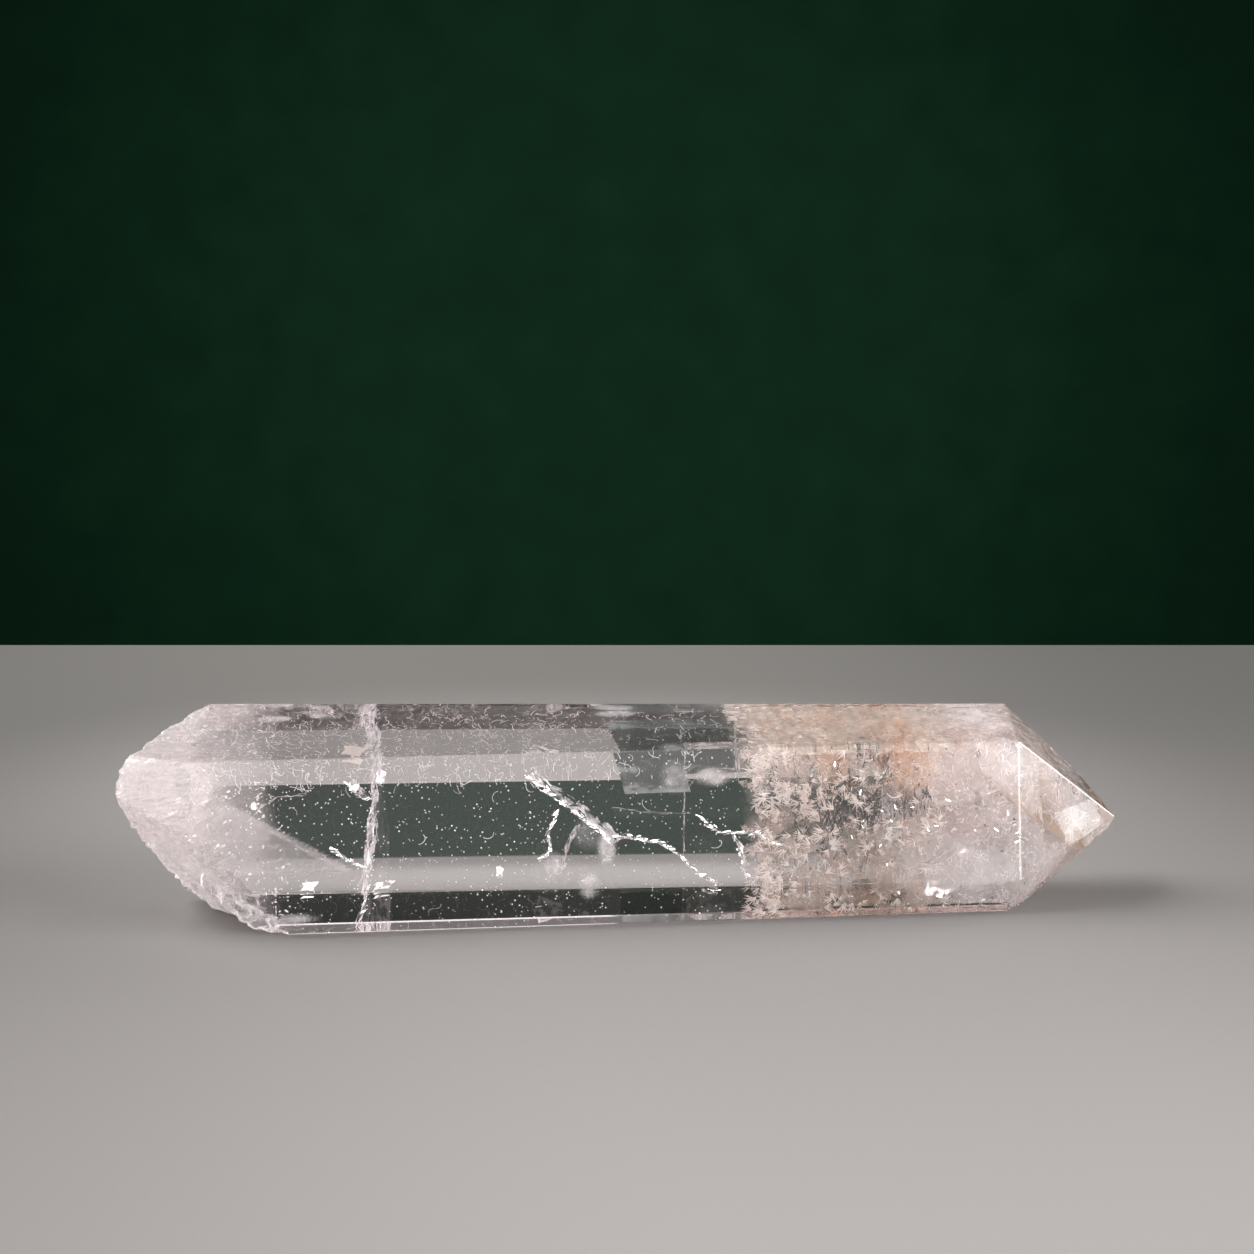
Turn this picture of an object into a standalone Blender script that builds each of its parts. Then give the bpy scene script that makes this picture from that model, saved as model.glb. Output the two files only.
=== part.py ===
"""A polished quartz point lying on one of its long faces.

A clear six-sided crystal, grown as one piece. Its six long faces and the faces of its pyramid are cut flat and
polished, and its root end is left as it broke: a rounded knob above a slanted, ledged break. Metres, +Z up. The
crystal lies along X with its tip at +X, and its origin is at the bottom centre of its box, on the surface.
"""

import math

import bmesh
import bpy
from mathutils import Matrix, Vector, noise

MM = 0.001

# The rough crystal that the faces are cut on. All places below are given from the middle of this block's base.
BLOCK = (130 * MM, 60 * MM, 40 * MM)
AXIS_OFFSET = 3 * MM
AXIS_HEIGHT = 10 * MM
TIP = (57.7 * MM, 2.5 * MM, 7.9 * MM)

# Each long face: the direction that it looks in, around X from +Y towards +Z, in degrees; how far it leans in
# towards the tip, in degrees; and how far it is from the axis half way along.
LONG_FACES = {
    "resting": (-90.0, 0.0, 10.0 * MM),
    "lower_front": (-168.0, -1.15, 11.85 * MM),
    "front": (158.0, -0.6, 7.8 * MM),
    "top": (98.0, 0.05, 8.7 * MM),
    "upper_back": (0.8, 4.95, 11.6 * MM),
    "lower_back": (-40.0, 4.0, 8.65 * MM),
}

# Each face of the pyramid: its direction around X; how far it leans from square to the axis; and how far it
# stands in front of the tip's own place, so that the six don't all meet in one point.
PYRAMID_FACES = {
    "pyramid_top": (104.6, 49.3, 0.0 * MM),
    "pyramid_front": (160.7, 57.4, 0.05 * MM),
    "pyramid_lower_front": (-147.7, 49.6, 0.0 * MM),
    "pyramid_upper_back": (2.0, 24.0, 0.1 * MM),
    "pyramid_lower_back": (-42.0, 50.0, 0.2 * MM),
    "pyramid_bottom": (-97.6, 58.9, 0.7 * MM),
}

# The broken root. Each plane gives x from y and z: (x at the origin, change along y, change along z), in mm.
BREAK_FRONT_BEVEL = (-67.0, -2.21, 0.94)
BREAK_FRONT_LOW = (-42.5, -0.905, -0.8)
BREAK_BACK_LOW = (-40.5, -0.35, -1.1)
BREAK_BACK = (-53.0, 0.5, 0.0)
BREAK_TOP = (-63.9, 0.45, 0.577)
KNOB_END = -54.3
KNOB_CENTRE = (0.5, 16.0)
KNOB_RADIUS = 9.0
GRAIN = 0.6 * MM
LUMP_SIZE = 4.0
LUMP_HEIGHT = 1.0
CRUMB_SIZE = 1.3
CRUMB_HEIGHT = 0.5
LEDGE_RISE = 1.7
LEDGE_DEPTH = 0.75
LEDGE_TILT = 0.3
LEDGE_TOP = 13.0


def clear_scene():
    for obj in list(bpy.data.objects):
        bpy.data.objects.remove(obj, do_unlink=True)


def new_collection(name):
    collection = bpy.data.collections.new(name)
    bpy.context.scene.collection.children.link(collection)
    return collection


def add_object(name, bm, collection):
    mesh = bpy.data.meshes.new(name)
    bm.to_mesh(mesh)
    bm.free()
    obj = bpy.data.objects.new(name, mesh)
    collection.objects.link(obj)
    return obj


def clear_quartz():
    """Colourless quartz with the faintest pink, polished."""
    material = bpy.data.materials.new("clear_quartz")
    material.use_nodes = True
    shader = material.node_tree.nodes["Principled BSDF"]
    shader.inputs["Base Color"].default_value = (0.90, 0.84, 0.83, 1.0)
    shader.inputs["Metallic"].default_value = 0.0
    shader.inputs["Roughness"].default_value = 0.05
    shader.inputs["IOR"].default_value = 1.544
    shader.inputs["Transmission Weight"].default_value = 1.0
    return material


def outward(around, lean):
    """A direction around X, leaning from square to the axis towards +X by lean degrees."""
    a, b = math.radians(around), math.radians(lean)
    return Vector((math.sin(b), math.cos(b) * math.cos(a), math.cos(b) * math.sin(a)))


def polish(bm, point, normal):
    """Cuts away all that stands outside one flat face, and closes the cut."""
    everything = bm.verts[:] + bm.edges[:] + bm.faces[:]
    cut = bmesh.ops.bisect_plane(bm, geom=everything, plane_co=point, plane_no=normal, clear_outer=True)
    rim = [item for item in cut["geom_cut"] if isinstance(item, bmesh.types.BMEdge)]
    bmesh.ops.holes_fill(bm, edges=rim)


def cut_crystal():
    bm = bmesh.new()
    bmesh.ops.create_cube(bm, size=1.0)
    bmesh.ops.scale(bm, vec=BLOCK, verts=bm.verts)
    bmesh.ops.translate(bm, vec=(0.0, 0.0, BLOCK[2] / 2 - MM), verts=bm.verts)
    axis = Vector((0.0, AXIS_OFFSET, AXIS_HEIGHT))
    for around, lean, distance in LONG_FACES.values():
        normal = outward(around, lean)
        polish(bm, axis + distance * normal, normal)
    for around, from_axis, stand_off in PYRAMID_FACES.values():
        normal = outward(around, 90.0 - from_axis)
        polish(bm, Vector(TIP) + stand_off * normal, normal)
    bmesh.ops.recalc_face_normals(bm, faces=bm.faces)
    return bm


def slope(plane, y, z):
    start, along_y, along_z = plane
    return start + along_y * y + along_z * z


def ledges(y, z):
    """Thin shelves that overlap like shingles below the knob, each with a sharp lower lip."""
    wander = noise.noise(Vector((y / 5, z / 5, 3.0)))
    step = (z + LEDGE_TILT * y) / LEDGE_RISE + 1.2 * wander
    fade = min(1.0, max(0.0, (LEDGE_TOP - z) / 3.0))
    return LEDGE_DEPTH * fade * (step - math.floor(step) - 0.5)


def break_depth(y, z):
    """How far along X, in mm, the broken root stands at y and z in mm."""
    off_y, off_z = y - KNOB_CENTRE[0], z - KNOB_CENTRE[1]
    knob = KNOB_END + (off_y ** 2 + off_z ** 2) / (2 * KNOB_RADIUS)
    x = max(
        slope(BREAK_FRONT_BEVEL, y, z),
        slope(BREAK_FRONT_LOW, y, z),
        slope(BREAK_BACK_LOW, y, z),
        slope(BREAK_TOP, y, z),
        min(slope(BREAK_BACK, y, z), knob),
    )
    lump = noise.noise(Vector((y, z, 0.0)) / LUMP_SIZE)
    crumb = noise.noise(Vector((y, z, 40.0)) / CRUMB_SIZE)
    return x + LUMP_HEIGHT * lump + CRUMB_HEIGHT * abs(crumb) + ledges(y, z)


def broken_block():
    """A block whose -X end is the broken root and whose other sides stand clear of the crystal."""
    depth, height = 36 * MM, 25 * MM
    middle = Vector((0.0, 6.0 * MM, 10.5 * MM))
    upright = Matrix.Rotation(math.radians(90), 4, "Y")
    bm = bmesh.new()
    bmesh.ops.create_grid(
        bm,
        x_segments=round(height / GRAIN),
        y_segments=round(depth / GRAIN),
        size=0.5,
        matrix=Matrix.Translation(middle) @ upright @ Matrix.Diagonal((height, depth, 1.0, 1.0)),
    )
    front = bm.verts[:]
    for vert in front:
        _, y, z = vert.co / MM
        y += 0.25 * noise.noise(Vector((y, z, 11.0)))
        z += 0.25 * noise.noise(Vector((y, z, 23.0)))
        vert.co = Vector((break_depth(y, z), y, z)) * MM
    grown = bmesh.ops.extrude_face_region(bm, geom=bm.faces[:])
    for item in grown["geom"]:
        if isinstance(item, bmesh.types.BMVert):
            item.co.x = BLOCK[0] / 2 + 5 * MM
    bmesh.ops.recalc_face_normals(bm, faces=bm.faces)
    return bm


def break_root(crystal, helpers):
    """Keeps of the crystal only what lies inside the broken block."""
    block = add_object("broken_block", broken_block(), helpers)
    block.hide_render = True
    block.display_type = "WIRE"
    modifier = crystal.modifiers.new("broken_root", "BOOLEAN")
    modifier.operation = "INTERSECT"
    modifier.object = block
    modifier.solver = "EXACT"


def rest_on_origin(obj, others):
    """Moves everything so that the crystal's box has its bottom centre at the origin."""
    graph = bpy.context.evaluated_depsgraph_get()
    corners = [Vector(corner) for corner in obj.evaluated_get(graph).bound_box]
    low = Vector(min(corner[i] for corner in corners) for i in range(3))
    high = Vector(max(corner[i] for corner in corners) for i in range(3))
    shift = Vector((-(low.x + high.x) / 2, -(low.y + high.y) / 2, -low.z))
    for each in (obj, *others):
        each.data.transform(Matrix.Translation(shift))
        each.data.update()


def main():
    clear_scene()
    parts = new_collection("quartz_point")
    helpers = new_collection("cutters")
    crystal = add_object("quartz_point", cut_crystal(), parts)
    crystal.data.materials.append(clear_quartz())
    break_root(crystal, helpers)
    rest_on_origin(crystal, helpers.objects)


main()
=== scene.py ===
import math

import bpy
import numpy as np
from mathutils import Matrix, Vector, noise


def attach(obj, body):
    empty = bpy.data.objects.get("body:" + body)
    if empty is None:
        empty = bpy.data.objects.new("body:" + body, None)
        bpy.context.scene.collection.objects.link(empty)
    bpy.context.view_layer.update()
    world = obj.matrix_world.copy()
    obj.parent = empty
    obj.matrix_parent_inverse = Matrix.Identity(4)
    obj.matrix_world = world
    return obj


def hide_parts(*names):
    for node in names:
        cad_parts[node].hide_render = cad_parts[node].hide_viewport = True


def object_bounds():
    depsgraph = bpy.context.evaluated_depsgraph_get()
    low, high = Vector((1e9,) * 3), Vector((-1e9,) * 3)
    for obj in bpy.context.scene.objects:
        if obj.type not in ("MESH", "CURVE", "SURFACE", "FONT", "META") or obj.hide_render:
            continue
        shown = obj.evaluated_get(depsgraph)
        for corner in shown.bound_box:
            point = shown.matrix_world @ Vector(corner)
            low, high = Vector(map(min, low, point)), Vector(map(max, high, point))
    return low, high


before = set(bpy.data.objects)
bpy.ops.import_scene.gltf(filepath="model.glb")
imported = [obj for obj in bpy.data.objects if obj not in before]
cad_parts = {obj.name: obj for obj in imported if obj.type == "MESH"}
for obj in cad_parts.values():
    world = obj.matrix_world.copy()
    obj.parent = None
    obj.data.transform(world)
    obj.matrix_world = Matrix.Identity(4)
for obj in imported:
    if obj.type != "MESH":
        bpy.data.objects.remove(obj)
cad_low, cad_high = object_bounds()

# The stone lies on a pale table whose far edge is level in the picture, with a dark plain wall well behind it.
# The eye is 0.4 m away and a little above, and turned to the stone's left. One soft box stands at the left and
# slightly behind, a faint one in front, and the rest is the room's own grey light.
MM = 0.001
TIP_REACH = 57.77 * MM
BACK_REACH = 18.385 * MM
ORIGIN = Vector((cad_high.x - TIP_REACH, cad_high.y - BACK_REACH, 0.0))
EYE = ORIGIN + Vector((-61.21, -386.44, 93.16)) * MM
EYE_PITCH, EYE_HEADING = -8.965, 9.207
LENS = 104.5
TABLE_FAR, TABLE_NEAR, TABLE_SIDE = 0.572, 2.0, 2.5
WALL_AWAY, WALL_WIDE, WALL_LOW, WALL_HIGH = 1.60, 5.0, -1.2, 2.4


def linear(hex_colour):
    """A colour given as sRGB #rrggbb, as linear red, green, blue and 1."""
    parts = [int(hex_colour[i:i + 2], 16) / 255 for i in (1, 3, 5)]
    return tuple(c / 12.92 if c <= 0.04045 else ((c + 0.055) / 1.055) ** 2.4 for c in parts) + (1.0,)


def node(tree, kind, values=(), links=(), **settings):
    """Adds one shader node with its settings, its sockets' values and the links into it."""
    made = tree.nodes.new("ShaderNode" + kind)
    for name, value in settings.items():
        setattr(made, name, value)
    for socket, value in dict(values).items():
        made.inputs[socket].default_value = value
    for socket, (source, output) in dict(links).items():
        tree.links.new(source.outputs[output], made.inputs[socket])
    return made


def new_material(name, colour, roughness):
    material = bpy.data.materials.new(name)
    material.use_nodes = True
    shader = material.node_tree.nodes["Principled BSDF"]
    shader.inputs["Base Color"].default_value = linear(colour)
    shader.inputs["Roughness"].default_value = roughness
    return material, material.node_tree, shader


def start(name):
    """Names the primitive that was just added, and leaves it alone selected."""
    piece = bpy.context.object
    piece.name = name
    piece.data.name = name
    return piece


def fix_in_place(piece):
    """Puts the object's place, turn and size into its mesh."""
    bpy.ops.object.select_all(action="DESELECT")
    piece.select_set(True)
    bpy.context.view_layer.objects.active = piece
    bpy.ops.object.transform_apply(location=True, rotation=True, scale=True)


camera = bpy.data.objects.new("eye", bpy.data.cameras.new("eye"))
bpy.context.scene.collection.objects.link(camera)
camera.location = EYE
camera.rotation_euler = (math.radians(90 + EYE_PITCH), 0.0, math.radians(-EYE_HEADING))
camera.data.sensor_width = 36.0
camera.data.lens = LENS
camera.data.clip_start = 0.01
bpy.context.scene.camera = camera
bpy.context.scene.view_settings.view_transform = "Standard"
bpy.context.scene.cycles.transparent_max_bounces = 32
bpy.context.scene.cycles.max_bounces = 18
bpy.context.scene.cycles.diffuse_bounces = 7
bpy.context.scene.cycles.glossy_bounces = 10
bpy.context.scene.cycles.transmission_bounces = 14

ahead = Vector((math.sin(math.radians(EYE_HEADING)), math.cos(math.radians(EYE_HEADING)), 0.0))
below_eye = Vector((EYE.x, EYE.y, 0.0))
bpy.ops.object.select_all(action="DESELECT")
bpy.ops.mesh.primitive_plane_add(
    size=1.0,
    location=below_eye + ahead * (TABLE_FAR - TABLE_NEAR / 2),
    rotation=(0.0, 0.0, -math.radians(EYE_HEADING)),
)
table = start("table")
table.scale = (2 * TABLE_SIDE, TABLE_NEAR, 1.0)
fix_in_place(table)
stone_ware, tree, shader = new_material("pale_stoneware_with_painted_light", "#928d8a", 0.8)
shader.inputs["Specular IOR Level"].default_value = 0.15
# The table's colour holds painted light: it falls off to both sides and towards the back, with a painted pool of light
# lying brightest just behind the stone.
place = node(tree, "TexCoord")
ways = node(tree, "SeparateXYZ", (), {0: (place, "Object")})
painted_falloff_to_back = node(
    tree,
    "MapRange",
    {"From Min": -0.16, "From Max": 0.12},
    {"Value": (ways, "Y")},
    interpolation_type="SMOOTHSTEP",
)
# The painted pool of light just behind the stone.
from_pool = node(tree, "VectorMath", {1: (0.0, 0.05, 0.0)}, {0: (place, "Object")}, operation="DISTANCE")
painted_light_pool = node(
    tree,
    "MapRange",
    {"From Min": 0.10, "From Max": 0.02},
    {"Value": (from_pool, "Value")},
    interpolation_type="SMOOTHSTEP",
)
painted_falloff_colour = node(
    tree,
    "MixRGB",
    {"Color1": linear("#807c7a"), "Color2": linear("#575552")},
    {"Fac": (painted_falloff_to_back, "Result")},
)
pooled = node(
    tree, "MixRGB", {"Color2": linear("#787573")}, {"Fac": (painted_light_pool, "Result"), "Color1": (painted_falloff_colour, "Color")}
)
# Painted light that falls off to both sides.
from_lit = node(tree, "Math", {1: -0.012}, {0: (ways, "X")}, operation="ADD")
sideways = node(tree, "Math", (), {0: (from_lit, "Value")}, operation="ABSOLUTE")
share = node(
    tree,
    "MapRange",
    {"From Min": 0.02, "From Max": 0.11, "To Min": 1.0, "To Max": 0.7},
    {"Value": (sideways, "Value")},
    interpolation_type="SMOOTHSTEP",
)
shaded = node(
    tree, "MixRGB", {"Fac": 1.0}, {"Color1": (pooled, "Color"), "Color2": (share, "Result")}, blend_type="MULTIPLY"
)
tree.links.new(shaded.outputs["Color"], shader.inputs["Base Color"])
grain = node(tree, "TexNoise", {"Scale": 1 / (1.0 * MM), "Detail": 3.0}, {"Vector": (place, "Object")})
rough = node(tree, "Bump", {"Strength": 0.5, "Distance": 0.08 * MM}, {"Height": (grain, "Fac")})
tree.links.new(rough.outputs["Normal"], shader.inputs["Normal"])
table.data.materials.append(stone_ware)

bpy.ops.object.select_all(action="DESELECT")
bpy.ops.mesh.primitive_plane_add(
    size=1.0,
    location=below_eye + ahead * WALL_AWAY + Vector((0.0, 0.0, (WALL_LOW + WALL_HIGH) / 2)),
    rotation=(math.radians(90), 0.0, -math.radians(EYE_HEADING)),
)
wall = start("wall")
wall.scale = (WALL_WIDE, WALL_HIGH - WALL_LOW, 1.0)
fix_in_place(wall)
paint, tree, shader = new_material("dark_green_wall_with_painted_light", "#0b1f13", 0.95)
shader.inputs["Specular IOR Level"].default_value = 0.0
# The wall's colour holds painted light: it is brightest at a spot ahead of the eye and darkest towards the picture's
# edges. Its paint is also faintly uneven.
painted_light_centre = below_eye + ahead * WALL_AWAY + Vector((0.0, 0.0, -0.03))
place = node(tree, "TexCoord")
from_lit = node(tree, "VectorMath", {1: painted_light_centre}, {0: (place, "Object")}, operation="DISTANCE")
lit = node(
    tree,
    "MapRange",
    {"From Min": 0.08, "From Max": 0.36, "To Min": 0.95, "To Max": 0.42},
    {"Value": (from_lit, "Value")},
    interpolation_type="SMOOTHSTEP",
)
uneven = node(tree, "TexNoise", {"Scale": 1 / (22 * MM), "Detail": 6.0}, {"Vector": (place, "Object")})
patchy = node(tree, "MapRange", {"To Min": 0.75, "To Max": 1.25}, {"Value": (uneven, "Fac")})
both = node(tree, "Math", (), {0: (lit, "Result"), 1: (patchy, "Result")}, operation="MULTIPLY")
shaded = node(
    tree,
    "MixRGB",
    {"Fac": 1.0, "Color1": linear("#0b1f13")},
    {"Color2": (both, "Value")},
    blend_type="MULTIPLY",
)
tree.links.new(shaded.outputs["Color"], shader.inputs["Base Color"])
wall.data.materials.append(paint)

room = bpy.data.worlds.new("room")
bpy.context.scene.world = room
room.use_nodes = True
room.node_tree.nodes["Background"].inputs["Color"].default_value = linear("#f4f2f4")
room.node_tree.nodes["Background"].inputs["Strength"].default_value = 1.15


def stand(thing, direction, distance):
    """Puts a lamp or a panel in a direction from the stone, turned to it."""
    thing.location = Vector(direction).normalized() * distance
    thing.rotation_euler = (-thing.location).to_track_quat("-Z", "Y").to_euler()


def soft_box(name, direction, distance, wide, high, power):
    lamp = bpy.data.lights.new(name, "AREA")
    lamp.shape = "RECTANGLE"
    lamp.size, lamp.size_y = wide, high
    lamp.energy = power
    box = bpy.data.objects.new(name, lamp)
    stand(box, direction, distance)
    box.visible_camera = False
    bpy.context.scene.collection.objects.link(box)


soft_box("key_soft_box", (-0.657, 0.354, 0.665), 0.9, 0.55, 0.55, 17.0)
soft_box("front_soft_box", (0.158, -0.81, 0.566), 1.0, 0.9, 0.4, 0.25)
soft_box("right_fill_box", (0.78, -0.52, 0.35), 0.9, 0.7, 0.6, 14.0)
soft_box("edge_light_behind", (0.84, 0.47, 0.27), 0.9, 0.3, 0.3, 2.5)
# A small lamp glints in the pyramid's front face, close to the tip.
GLINT = Vector((50.0, -4.1, 8.4)) * MM
glint_face = Vector((0.539, -0.795, 0.278))
lamp_place = GLINT + 0.8 * (GLINT - EYE).normalized().reflect(glint_face.normalized())
soft_box("glint_lamp", lamp_place, lamp_place.length, 0.013, 0.011, 0.002)
bpy.ops.object.select_all(action="DESELECT")
bpy.ops.mesh.primitive_plane_add(size=1.0)
flag = start("dark_flag")
flag.scale = (1.0, 1.17, 1.0)
stand(flag, (-0.05, -0.375, 0.927), 1.1)
fix_in_place(flag)
felt, tree, shader = new_material("grey_felt", "#707070", 0.95)
flag.data.materials.append(felt)

# The stone is one crystal of quartz, 112 mm long and six-sided, ground flat and polished on its long faces and on
# its pyramid. Its root end is left as it broke off: a rounded knob, with thin ledges below it like shingles.
AXIS = ORIGIN + Vector((0.0, 3.0, 10.0)) * MM
TIP = ORIGIN + Vector((57.7, 2.5, 7.9)) * MM
# Each long face: its direction around X from +Y towards +Z, its lean towards the tip, and its distance in mm.
LONG_FACES = {
    "resting": (-90.0, 0.0, 10.0),
    "lower_front": (-168.0, -1.15, 11.85),
    "front": (158.0, -0.6, 7.8),
    "top": (98.0, 0.05, 8.7),
    "upper_back": (0.8, 4.95, 11.6),
    "lower_back": (-40.0, 4.0, 8.65),
}
# Each pyramid face: its direction around X, its lean from square to the axis, and its stand-off from the tip.
PYRAMID_FACES = {
    "pyramid_top": (104.6, 49.3, 0.0),
    "pyramid_front": (160.7, 57.4, 0.05),
    "pyramid_lower_front": (-147.7, 49.6, 0.0),
    "pyramid_upper_back": (2.0, 24.0, 0.1),
    "pyramid_lower_back": (-42.0, 50.0, 0.2),
    "pyramid_bottom": (-97.6, 58.9, 0.7),
}
# The broken root, each plane as x at the origin, change along y and change along z, and the knob's round end.
BREAK_PLANES = ((-67.0, -2.21, 0.94), (-42.5, -0.905, -0.8), (-40.5, -0.35, -1.1), (-63.9, 0.45, 0.577))
BREAK_BACK = (-53.0, 0.5, 0.0)
KNOB_END, KNOB_Y, KNOB_Z, KNOB_RADIUS = -54.3, 0.5, 16.0, 9.0
BREAK_GRAIN = 0.3 * MM


def outward(around, lean):
    """A direction around X, leaning from square to the axis towards +X by lean degrees."""
    a, b = math.radians(around), math.radians(lean)
    return Vector((math.sin(b), math.cos(b) * math.cos(a), math.cos(b) * math.sin(a)))


faces_cut = {}
for name, (around, lean, distance) in LONG_FACES.items():
    normal = outward(around, lean)
    faces_cut[name] = (AXIS + distance * MM * normal, normal)
for name, (around, from_axis, stand_off) in PYRAMID_FACES.items():
    normal = outward(around, 90.0 - from_axis)
    faces_cut[name] = (TIP + stand_off * MM * normal, normal)


def trim_to_stone(piece, margin, close):
    """Cuts away what stands outside the polished faces, or nearer than margin to them."""
    bpy.ops.object.select_all(action="DESELECT")
    piece.select_set(True)
    bpy.context.view_layer.objects.active = piece
    bpy.ops.object.mode_set(mode="EDIT")
    for place, normal in faces_cut.values():
        bpy.ops.mesh.select_all(action="SELECT")
        bpy.ops.mesh.bisect(
            plane_co=place - margin * normal, plane_no=normal, use_fill=close, clear_outer=True
        )
    bpy.ops.object.mode_set(mode="OBJECT")


def break_depth(y, z, fine=1.0):
    """How far along X, in mm, the broken root stands at y and z, in mm from the stone's measuring point."""
    slopes = [x + along_y * y + along_z * z for x, along_y, along_z in (*BREAK_PLANES, BREAK_BACK)]
    knob = KNOB_END + ((y - KNOB_Y) ** 2 + (z - KNOB_Z) ** 2) / (2 * KNOB_RADIUS)
    x = max(*slopes[:-1], min(slopes[-1], knob))
    lump = noise.noise(Vector((y, z, 0.0)) / 4.0)
    crumb = noise.noise(Vector((y, z, 40.0)) / 1.3)
    grit = noise.noise(Vector((y, z, 70.0)) / 0.7)
    wander = noise.noise(Vector((y / 5, z / 5, 3.0)))
    step = (z + 0.3 * y) / 1.7 + 1.2 * wander
    fade = min(1.0, max(0.0, (13.0 - z) / 3.0))
    ledge = 0.75 * fade * (step - math.floor(step) - 0.5)
    crushed = 0.06 + 0.4 * min(1.0, max(0.0, (z - 11.0) / 3.0))
    return x + lump + 0.5 * abs(crumb) + crushed * fine * abs(grit) + ledge


def apply_modifier(piece, kind, **settings):
    """Adds one modifier, with its settings, and applies it."""
    bpy.ops.object.select_all(action="DESELECT")
    piece.select_set(True)
    bpy.context.view_layer.objects.active = piece
    modifier = piece.modifiers.new(kind.lower(), kind)
    for name, value in settings.items():
        setattr(modifier, name, value)
    bpy.ops.object.modifier_apply(modifier=modifier.name)


bpy.ops.object.select_all(action="DESELECT")
bpy.ops.mesh.primitive_cube_add(size=1.0, location=ORIGIN + Vector((0.0, 0.0, 19.0)) * MM)
stone = start("polished_quartz_point")
stone.scale = Vector((130.0, 60.0, 40.0)) * MM
fix_in_place(stone)
trim_to_stone(stone, 0.0, close=True)
apply_modifier(stone, "BEVEL", width=0.12 * MM, segments=1, limit_method="ANGLE", angle_limit=math.radians(15))

bpy.ops.object.select_all(action="DESELECT")
bpy.ops.mesh.primitive_grid_add(
    x_subdivisions=round(25 * MM / BREAK_GRAIN),
    y_subdivisions=round(36 * MM / BREAK_GRAIN),
    size=1.0,
    location=ORIGIN + Vector((0.0, 6.0, 10.5)) * MM,
    rotation=(0.0, math.radians(90), 0.0),
)
broken_block = start("broken_block")
broken_block.scale = (25 * MM, 36 * MM, 1.0)
fix_in_place(broken_block)
for vert in broken_block.data.vertices:
    _, y, z = (vert.co - ORIGIN) / MM
    y += 0.12 * noise.noise(Vector((y, z, 11.0)) * 2)
    z += 0.12 * noise.noise(Vector((y, z, 23.0)) * 2)
    vert.co = ORIGIN + Vector((break_depth(y, z), y, z)) * MM
bpy.ops.object.mode_set(mode="EDIT")
bpy.ops.mesh.select_all(action="SELECT")
bpy.ops.mesh.extrude_region_move(TRANSFORM_OT_translate={"value": (150 * MM, 0.0, 0.0)})
bpy.ops.mesh.select_all(action="SELECT")
bpy.ops.mesh.normals_make_consistent(inside=False)
bpy.ops.object.mode_set(mode="OBJECT")
apply_modifier(stone, "BOOLEAN", operation="INTERSECT", object=broken_block, solver="EXACT")
bpy.data.objects.remove(broken_block)

clear_quartz, tree, shader = new_material("clear_quartz", "#ffffff", 0.02)
shader.inputs["IOR"].default_value = 1.544
shader.inputs["Transmission Weight"].default_value = 1.0
tint = node(tree, "VolumeAbsorption", {"Color": (0.98, 0.78, 0.80, 1.0), "Density": 11.0})
tree.links.new(tint.outputs["Volume"], tree.nodes["Material Output"].inputs["Volume"])
dull_spots = node(tree, "Attribute", attribute_name="dullness")
dullness = node(
    tree, "MapRange", {"To Min": 0.02, "To Max": 0.4}, {"Value": (dull_spots, "Fac")}
)
tree.links.new(dullness.outputs["Result"], shader.inputs["Roughness"])

stone.data.materials.clear()
stone.data.materials.append(clear_quartz)
dull = stone.data.attributes.new("dullness", "FLOAT", "FACE")
for polygon in stone.data.polygons:
    near = [abs((polygon.center - place).dot(normal)) for place, normal in faces_cut.values()]
    flat = max(polygon.normal.dot(normal) for place, normal in faces_cut.values())
    if min(near) > 0.15 * MM and polygon.center.x < -20 * MM:
        dull.data[polygon.index].value = 0.5
    elif flat < 0.995:
        dull.data[polygon.index].value = 0.35
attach(stone, "root")
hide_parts("quartz_point")

# Towards the root and towards the tip the crystal grew with countless healed cracks in it. Each is a thin wavy film
# of tiny hollows that scatters light, so that many of them, one behind the other, look like a soft milky cloud.
FILM_STEP = 3.5 * MM
FILM_CELL = 0.7 * MM
FILM_WAVE = 1.0 * MM
LEAST_COVER = 0.04


def inner_depth(point):
    """How far a point lies inside the stone's surface, in metres. It is below zero outside."""
    x, y, z = (point - ORIGIN) / MM
    from_break = (x - break_depth(y, z)) * MM if x < -25 else 1.0
    return min(from_break, *((place - point).dot(normal) for place, normal in faces_cut.values()))


def keep_in_stone(piece):
    """Rides with the stone. The clear quartz casts the shadow for all that lies inside it."""
    piece.visible_shadow = False
    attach(piece, "root")


def join(pieces, name):
    bpy.ops.object.select_all(action="DESELECT")
    for piece in pieces:
        piece.select_set(True)
    bpy.context.view_layer.objects.active = pieces[0]
    bpy.ops.object.join()
    return start(name)


def add_film(centre, normal, length, height, cell=FILM_CELL):
    """A flat sheet of small cells, its long side along X as far as the normal lets it."""
    bpy.ops.object.select_all(action="DESELECT")
    bpy.ops.mesh.primitive_grid_add(
        x_subdivisions=round(length / cell), y_subdivisions=round(height / cell), size=1.0
    )
    film = start("film")
    across = normal.cross(Vector((1.0, 0.0, 0.0))).normalized()
    along = across.cross(normal)
    turn = Matrix((along, across, normal)).transposed().to_4x4()
    film.matrix_world = Matrix.Translation(centre) @ turn @ Matrix.Diagonal((length, height, 1.0, 1.0))
    fix_in_place(film)
    return film


def delete_faces(piece, unwanted):
    """Deletes the faces that unwanted names, and the loose points that they leave."""
    for part in (*piece.data.vertices, *piece.data.edges):
        part.select = False
    for polygon in piece.data.polygons:
        polygon.select = unwanted(polygon)
    bpy.ops.object.select_all(action="DESELECT")
    piece.select_set(True)
    bpy.context.view_layer.objects.active = piece
    bpy.ops.object.mode_set(mode="EDIT")
    bpy.ops.mesh.select_mode(type="FACE")
    bpy.ops.mesh.delete(type="FACE")
    bpy.ops.object.mode_set(mode="OBJECT")


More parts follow.
